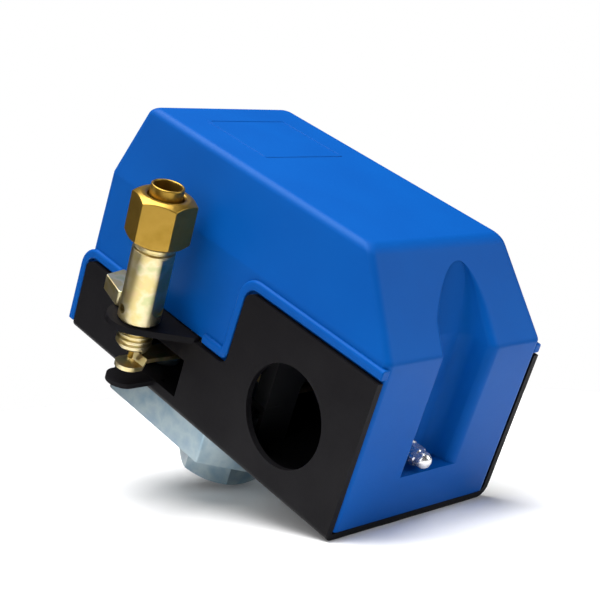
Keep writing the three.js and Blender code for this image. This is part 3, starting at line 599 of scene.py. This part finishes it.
def bead(line, side, starts_low):
    """The rounded lip that runs beside a panel's edge."""
    inside, outside, face = BEAD_GAP, BEAD_GAP + BEAD_WIDTH, BEAD_FACE
    soft = 0.7
    section = [(inside, SKIRT - 0.4), (inside, face - 0.3), (inside + 0.12, face - 0.1),
               (inside + 0.35, face)]
    section += [(outside - soft + soft * math.sin(a), face - soft + soft * math.cos(a))
                for a in (math.pi / 2 * k / 6 for k in range(7))]
    section.append((outside, SKIRT - 0.4))
    lines = []
    for distance, y in section:
        moved = offset_line(line, distance)
        if starts_low:
            moved[0] = (moved[0][0], 0)
        corners = [(*moved[0], 0)]
        for i in range(1, len(moved) - 1):
            before, here, after = line[i - 1:i + 2]
            turn = ((here[0] - before[0]) * (after[1] - here[1])
                    - (here[1] - before[1]) * (after[0] - here[0]))
            corners.append((*moved[i], PANEL_CORNER + (distance if turn < 0 else -distance * 0.6)))
        corners.append((*moved[-1], 0))
        far_below = -50
        closing = [(corners[-1][0], far_below, 0), (corners[0][0], far_below, 0)]
        points = rounded([*corners, *closing], 8)[:-2]
        lines.append([(x, side * y, z) for x, z in points])
    return loft([list(loop) for loop in zip(*lines)])


piece(cover(), "cover_shape", "cover", "blue_plastic", "cover", bevel=0.25, segments=3, sharp=38)
BEADS = {
    "cover_bead_left": ([(LEFT, 0), (LEFT, LOW_TOP), (TAB_LEFT - 1, LOW_TOP)], -1, True),
    "cover_bead_right": ([(BEAD_CUT, LOW_TOP), *PANEL[2:4], (BEAD_END, EAR_TOP)], -1, False),
    "cover_bead_back": ([(LEFT, 0), *PANEL[1:4], (BEAD_END, EAR_TOP)], 1, True),
}
for name, (line, side, starts_low) in BEADS.items():
    piece(bead(line, side, starts_low), name, "cover", "blue_plastic", bevel=0.2, sharp=60)


def label_frame():
    """A plain raised border on the roof, left empty."""
    left, right, front, back, width, height = -34, -12.4, -12, 12.6, 0.8, 0.12

    def outline(inset, radius):
        return rounded([(left + inset, front + inset, radius), (right - inset, front + inset, radius),
                        (right - inset, back - inset, radius), (left + inset, back - inset, radius)])

    border = prism(outline(0, 1), COVER_TOP - 0.5, COVER_TOP + height)
    return cut(border, prism(outline(width, 0.5), COVER_TOP - 1, COVER_TOP + 1))


piece(label_frame(), "cover_border", "cover", "blue_plastic", bevel=0.1)


def cover_screw():
    """A collar, a hexagon and a dome on a plain shank, along the screw's own axis."""
    seat, across, dome, shank, tip, collar = SCREW_SEAT, 3.9, 1.9, 1.4, 33, 2.35
    six = hexagon(across)
    profile = [(0, tip), (shank - 0.3, tip), (shank, tip + 0.4), (shank, seat), (collar - 0.15, seat),
               (collar, seat + 0.15), (collar, seat + 1.0), (collar - 0.15, seat + 1.15),
               (1.7, seat + 1.3),
               (dome, seat + 1.5), (six, chamfer(across, dome, seat + 1.5, -1)),
               (six, chamfer(across, dome, seat + 4.2, 1)), (dome, seat + 4.3), (dome, seat + 5.0)]
    profile += [(dome * math.cos(a), seat + 5.1 + dome * math.sin(a))
                for a in (math.pi / 2 * k / 8 for k in range(9))]
    return spun(profile)


ALONG_X = CASE @ Matrix.Translation((0, SCREW_Y, SCREW_Z)) @ Matrix.Rotation(math.pi / 2, 4, "Y")
piece(cover_screw(), "cover_screw_shape", "cover_screw", "nickel", "cover_screw", ALONG_X)
refined("cover_clip_nut", "cover", "zinc")

# ---------------------------------------------------------------- pressure side


def flange():
    """A plate with two cut corners, the hexagon port under it, and the bore through both."""
    end, half, cut_x, cut_y, blunt, round_corner = 22.7, 21.6, 9.6, 12.9, 0.8, 2.5
    outline = rounded([
        (-end, -half, round_corner), (end - cut_x, -half, blunt), (end, -half + cut_y, blunt),
        (end, half - cut_y, blunt), (end - cut_x, half, blunt), (-end, half, round_corner)])
    diaphragm_room = 1.8
    plate = prism(outline, FLANGE_FOOT, UNDERSIDE - diaphragm_room)
    plate = cut(plate, *[bar(2.3, -9, 0, at=(x - PORT_X, y, 0)) for x, y in FLANGE_SCREWS])
    edge = plate.modifiers.new("edge", "BEVEL")
    edge.width = 0.7
    edge.segments = 4
    edge.limit_method = "ANGLE"
    edge.angle_limit = math.radians(50)
    bake(plate)
    across, rim, foot, fillet, buried = 19, 9.2, -PORT_LENGTH, 0.9, -8
    six = hexagon(across)
    boss = spun([(0, foot), (rim - 0.3, foot), (rim, foot + 0.15),
                 (six, chamfer(across, rim, foot, -1)),
                 (six, FLANGE_FOOT - fillet), (lambda a: six(a) + fillet, FLANGE_FOOT + 0.1),
                 (lambda a: six(a) + fillet, buried), (0, buried)], 96)
    bore = spun([(0, foot - 1), (7.1, foot - 1), (6.9, foot + 1), (5.9, foot + 2), (5.5, -9),
                 (5.5, -8), (13, -5.5), (13, 0), (0, 0)], 96)
    body = cut(join(plate, boss), bore)
    body.data.transform(Matrix.Translation((PORT_X, 0, 0)))
    return body


piece(flange(), "port_flange_shape", "case", "zinc", "port_flange", sharp=28)
port = Matrix.Translation((PORT_X, 0, 0))
piece(thread(5.5, 5.95, 1.4, -PORT_LENGTH + 2.6, -10), "port_thread", "case", "zinc",
      matrix=CASE @ port)
refined("diaphragm", "case", "rubber", 0.15)
refined("piston", "piston", "zinc", 0.15, 25)


def slotted_screw(head, height, shank, length):
    """A pan-headed screw whose head sits on zero and whose shank runs down."""
    profile = [(0, -length), (shank - 0.4, -length), (shank, -length + 0.5), (shank, 0), (head, 0),
               (head, height * 0.45)]
    profile += [(head * (0.62 + 0.38 * math.cos(a)), height * (0.45 + 0.55 * math.sin(a)))
                for a in (math.pi / 2 * k / 6 for k in range(1, 7))]
    profile.append((0, height))
    return cut(spun(profile, 48), box((-head, head), (-0.45, 0.45), (height * 0.5, height + 1)))


def put_screw(name, obj, at, turn=0.0, axis="Z"):
    """A zinc screw of the case, seated at a point and turned about an axis."""
    place = CASE @ Matrix.Translation(at) @ Matrix.Rotation(turn, 4, axis)
    piece(obj, f"{name}_shape", "case", "zinc", name, place, bevel=0.08)


for i, (x, y) in enumerate(FLANGE_SCREWS):
    put_screw(f"flange_screw_{i + 1}", slotted_screw(3.8, 2.6, 2, 8.5), (x, y, FLOOR + GAP), 0.5 + i)
for i, (x, y) in enumerate(BLOCK_SCREWS):
    put_screw(f"block_screw_{i + 1}", slotted_screw(2.9, 2, 1.6, 8), (x, y, UNDERSIDE - GAP),
              math.pi, "X")
put_screw("ground_screw", slotted_screw(3.3, 2.6, 1.75, 3.4), (*GROUND_SCREW, FLOOR + GAP))
for i, y in enumerate(TERMINAL_ROWS):
    put_screw(f"terminal_screw_{i + 1}", slotted_screw(2.9, 2.4, 1.5, 7), (17.5, y, 38.4), 0.3 * i)

# ---------------------------------------------------------------- lever, studs and contacts


def unloader_arm():
    """The strip that steps down through the window to a round pad under the valve's pin."""
    left, right, tip, sheet = -17.8, -12.0, -36.8, 1.0
    inner, middle, pad = 9.9, 8.2, 6.4
    line = [(-1.5, inner), (-20, inner), (-21.5, middle), (-31.2, middle), (-31.9, pad), (tip, pad)]
    strip = prism([*line, *[(y, z + sheet) for y, z in reversed(line)]], left, right, "yz")
    half, steps = (right - left) / 2, 28
    plan = [(left, 0), (left, tip + half)]
    plan += [(left + half - half * math.cos(math.pi * k / steps),
              tip + half - half * math.sin(math.pi * k / steps)) for k in range(1, steps)]
    plan += [(right, tip + half), (right, 0)]
    rivet_hole = bar(1.3, 0, 20, at=(left + half, -5, 0))
    return cut(common(strip, prism(plan, 0, 20)), rivet_hole)


piece(unloader_arm(), "unloader_arm_shape", "lever", "yellow_zinc", "unloader_arm", bevel=0.15)
refined("main_lever", "lever", "yellow_zinc")
refined("arm_rivet", "lever", "zinc", 0.1)
refined("lever_pin", "case", "zinc", 0.2)


def stud(rod, top, foot_radius):
    """A headed stud that stands on the chassis' floor."""
    foot = FLOOR + GAP
    return spun([(0, foot), (foot_radius, foot), (foot_radius, foot + 1.2), (rod - 0.3, foot + 1.8),
                 (rod - 0.3, top - 0.6), (rod - 0.9, top), (0, top)], 40)


def adjusting_nut(across, rod, low, height):
    """A flanged hexagon nut around its stud."""
    six = hexagon(across)
    rim = across / 2 - 0.2
    bore = rod + 0.05
    flange_radius = across / 2 + 0.6
    return spun([
        (bore, low), (flange_radius, low), (flange_radius, low + 1.4), (six, low + 1.5),
        (six, chamfer(across, rim, low + height, 1)), (rim, low + height),
        (bore + 0.4, low + height), (bore, low + height - 0.4)], 72, closed=True)


STUDS = {
    "range": dict(at=(-28.5, 0, 0), rod=3, top=47, foot=4.4, coil=6.9, wire=1, nut=34, across=13,
                  height=7),
    "differential": dict(at=(-6.5, 15, 0), rod=2, top=38, foot=3.1, coil=3.9, wire=0.6, nut=26,
                         across=8, height=5),
}
for name, s in STUDS.items():
    place = CASE @ Matrix.Translation(s["at"])
    piece(stud(s["rod"], s["top"], s["foot"]), f"{name}_stud_shape", "case", "zinc",
          f"{name}_stud", place)
    piece(thread(s["rod"], s["rod"] - 0.4, 1.1, 12, s["top"] - 1), f"{name}_stud_thread", "case",
          "zinc", matrix=place)
    piece(adjusting_nut(s["across"], s["rod"], s["nut"], s["height"]), f"{name}_nut_shape",
          f"{name}_nut", "zinc", f"{name}_nut", place, bevel=0.1)
    piece(coil(s["coil"], s["wire"], 10.3, s["nut"] - GAP, 7), f"{name}_spring_shape",
          f"{name}_nut", "spring_steel", f"{name}_spring", place)

refined("contact_block", "case", "black_plastic", 0.3)
refined("contact_plunger", "contact_carrier", "black_plastic", 0.15)
refined("contact_crossbar", "contact_carrier", "black_plastic", 0.25)
for i in (1, 2):
    refined(f"contact_bridge_{i}", "contact_carrier", "contact_copper", 0.12)
for i in (1, 2, 3, 4):
    refined(f"terminal_plate_{i}", "case", "brass", 0.12)
piece(coil(4.1, 0.5, 13.7, 28.7, 6), "contact_spring_shape", "contact_carrier", "spring_steel",
      "contact_spring", CASE @ Matrix.Translation((5.5, 0, 0)))

# ---------------------------------------------------------------- unloader valve


def valve_body():
    """The valve's turned body: a threaded foot, and a barrel with a flat and a vent hole."""
    barrel, top, root = 4.75, 18.7, 3.55
    body = spun([
        (1, -6.6), (root - 0.5, -6.6), (root, -6.1), (root, -1.4), (3.9, -1.2), (3.9, 0.3),
        (barrel - 0.3, 0.3), (barrel, 0.6), (barrel, top - 1.6), (barrel - 0.12, top - 1.45),
        (barrel - 0.55, top - 1.35), (barrel - 0.55, top - 0.95), (barrel - 0.1, top - 0.85),
        (barrel, top - 0.7), (barrel, top - 0.1), (barrel - 0.15, top), (4.2, top), (4.2, 25.4),
        (3.5, 25.4), (3.3, 25), (3.3, 13), (2.4, 13), (2.4, 2), (1, 2)], 96, closed=True)
    flat = prism(rounded([(-2.6, 2.7, 2.3), (2.6, 2.7, 2.3), (2.6, 16.6, 0.6), (-2.6, 16.6, 0.6)]),
                 4.12, 8, "yz")
    flat.data.transform(Matrix.Rotation(math.radians(20), 4, "Z"))
    hole = bar(1.15, -6, -2, 40, along="Y")
    hole.data.transform(Matrix.Translation((0, 0, 2.9))
                        @ Matrix.Rotation(math.radians(-10.6), 4, "Z"))
    return cut(body, flat, hole)


piece(valve_body(), "valve_body_shape", "case", "yellow_zinc", "valve_body", VALVE_AXIS,
      bevel=0.08, sharp=32)
piece(thread(4.05, 3.5, 1.2, -6.3, -0.9), "valve_thread", "case", "yellow_zinc", matrix=VALVE_AXIS)


def valve_stem():
    """The pin below the body, its seal inside, and the nose that the spring sits on."""
    return spun([(0, -9.8), (0.4, -9.75), (0.6, -9.5), (0.6, 2.3), (1.8, 2.3), (2, 2.5), (2, 4.6),
                 (1.8, 4.8), (1, 5.2), (1, 6.2), (0.8, 6.4), (0, 6.4)], 40)


def compression_nut():
    """A hexagon nut with a deep chamfer at its mouth."""
    across, low, top = 12.6, 19.3, 29.9
    rim, top_rim = across / 2 - 0.12, 5.5
    six = hexagon(across)
    return spun([
        (4.5, low), (rim - 0.4, low), (rim, low + 0.12), (six, chamfer(across, rim, low + 0.15, -1)),
        (six, chamfer(across, top_rim, top, 1)), (top_rim, top), (top_rim - 0.3, top + 0.05),
        (4.5, top), (4.1, top - 0.25), (3.95, top - 0.7), (3.95, 26.2), (4.5, 25.7)],
        144, closed=True)


def ferrule():
    """A thin sleeve with a rounded lip."""
    outer, inner, low, top = 3.65, 3.05, 26, 32.1
    lip = [(outer - 0.3 + 0.3 * math.cos(a), top - 0.3 + 0.3 * math.sin(a))
           for a in (math.pi * k / 10 for k in range(11))]
    return spun([(inner, low), (outer - 0.2, low), (outer, low + 0.7), *lip, (inner, top - 0.9)],
                96, closed=True)


def lock_plate():
    """The short thick plate beside the body."""
    corners = [(-14.3, 0.4, .5), (-6, -1.9, .8), (-5.5, 0.5, .8), (-4.3, 3.6, 1.2), (-1, 5.3, 1.2),
               (-1, 6.4, .6), (-15.6, 6.4, .6)]
    return prism(rounded(corners), 0.3, 3.9)


piece(valve_stem(), "valve_stem_shape", "valve_stem", "brass", "valve_stem", VALVE_AXIS)
piece(coil(1.7, 0.28, 5.2, 13, 6, 20, 8), "valve_spring_shape", "valve_stem", "spring_steel",
      "valve_spring", VALVE_AXIS)
refined("spring_retainer", "case", "brass", 0.1)
piece(compression_nut(), "compression_nut_shape", "compression_nut", "brass", "compression_nut",
      VALVE_AXIS @ Matrix.Rotation(math.radians(NUT_TURN), 4, "Z"), bevel=0.12, sharp=25)
piece(ferrule(), "ferrule_shape", "case", "brass", "ferrule", VALVE_AXIS)
piece(lock_plate(), "valve_lock_plate_shape", "case", "yellow_zinc", "valve_lock_plate",
      VALVE_AXIS, bevel=0.2, segments=3)

# ---------------------------------------------------------------- stage, lights and camera

FLOOR_LEAN = math.radians(26.2)
FLOOR_NORMAL = Vector((-math.sin(FLOOR_LEAN), 0, math.cos(FLOOR_LEAN)))
LEFTWARD = -Vector((0.6506, 0.7093, 0.2712))
DOWNWARD = Vector((0.4594, -0.0833, -0.8843))
TOWARDS_CAMERA = -Vector((-0.6047, 0.7, -0.38))
CAMERA_PLACE = Vector((186.78, -217.84, 144.92))
FOCAL_LENGTH, SENSOR_WIDTH = 82.2, 36
BACKDROP, ROOM_BELOW, ROOM_ABOVE = 1.0, 0.12, 0.38


def stage_floor():
    """A round pale floor that holds the case's lower right edge and the port's rim."""
    contact = Vector((46.2, 0, UNDERSIDE))
    radius, centre, depth = 170.0, -50.0, 1.0
    floor = spun([(0, -depth), (radius, -depth), (radius, 0), (0, 0)], 96)
    floor.data.transform(Matrix.Translation(contact) @ Matrix.Rotation(-FLOOR_LEAN, 4, "Y")
                         @ Matrix.Translation((centre, 0, 0)))
    floor.data.transform(CASE)
    floor.name = "floor"
    floor.data.materials.append(finish("pale_floor", [(0.92, 0.92, 0.93), (0.95, 0.95, 0.95)], 0, 0.6))


def area_light(name, offset, size, power):
    """A square light that faces the object's middle from an offset in metres."""
    light = bpy.data.lights.new(name, "AREA")
    light.shape = "RECTANGLE"
    light.size, light.size_y = size, size
    light.energy = power
    obj = bpy.data.objects.new(name, light)
    obj.location = Vector((0.01, 0, 0.045)) + offset
    obj.rotation_euler = (-offset).to_track_quat("-Z", "Y").to_euler()
    bpy.context.scene.collection.objects.link(obj)


def surroundings():
    """White behind the object, and around it a dim room that is brighter towards the ceiling."""
    world = bpy.data.worlds.new("studio")
    world.use_nodes = True
    nodes, links = world.node_tree.nodes, world.node_tree.links
    room = nodes["Background"]
    place = nodes.new("ShaderNodeTexCoord")
    upward = nodes.new("ShaderNodeVectorMath")
    upward.operation = "DOT_PRODUCT"
    upward.inputs[1].default_value = FLOOR_NORMAL
    links.new(place.outputs["Generated"], upward.inputs[0])
    level = nodes.new("ShaderNodeMapRange")
    level.inputs["From Min"].default_value = 0.0
    level.inputs["To Min"].default_value = ROOM_BELOW
    level.inputs["To Max"].default_value = ROOM_ABOVE
    links.new(upward.outputs["Value"], level.inputs["Value"])
    links.new(level.outputs["Result"], room.inputs["Strength"])
    backdrop = nodes.new("ShaderNodeBackground")
    backdrop.inputs["Strength"].default_value = BACKDROP
    backdrop.inputs["Color"].default_value = (1, 1, 1, 1)
    path = nodes.new("ShaderNodeLightPath")
    choose = nodes.new("ShaderNodeMixShader")
    links.new(path.outputs["Is Camera Ray"], choose.inputs["Fac"])
    links.new(room.outputs["Background"], choose.inputs[1])
    links.new(backdrop.outputs["Background"], choose.inputs[2])
    links.new(choose.outputs["Shader"], nodes["World Output"].inputs["Surface"])
    bpy.context.scene.world = world


def lamps():
    """A large key above the floor, and weaker lights from the front, the right and the left."""
    area_light("key", FLOOR_NORMAL * 0.7 + LEFTWARD * 0.1 + TOWARDS_CAMERA * 0.1, 0.65, 13)
    area_light("front", LEFTWARD * 0.35 + TOWARDS_CAMERA * 0.55 + FLOOR_NORMAL * 0.2, 0.5, 1.9)
    area_light("right", TOWARDS_CAMERA * 0.1 + FLOOR_NORMAL * 0.25 - LEFTWARD * 0.7, 0.4, 2.4)
    area_light("left", LEFTWARD * 0.7 + FLOOR_NORMAL * 0.15, 0.4, 0.6)


def camera():
    data = bpy.data.cameras.new("camera")
    data.sensor_width = SENSOR_WIDTH
    data.lens = FOCAL_LENGTH
    data.clip_start = 0.01
    obj = bpy.data.objects.new("camera", data)
    turn = Matrix((-LEFTWARD, -DOWNWARD, TOWARDS_CAMERA)).transposed().to_4x4()
    obj.matrix_world = Matrix.Translation(CASE @ CAMERA_PLACE) @ turn
    bpy.context.scene.collection.objects.link(obj)
    bpy.context.scene.camera = obj
    bpy.context.scene.view_settings.view_transform = "Standard"


stage_floor()
surroundings()
lamps()
camera()
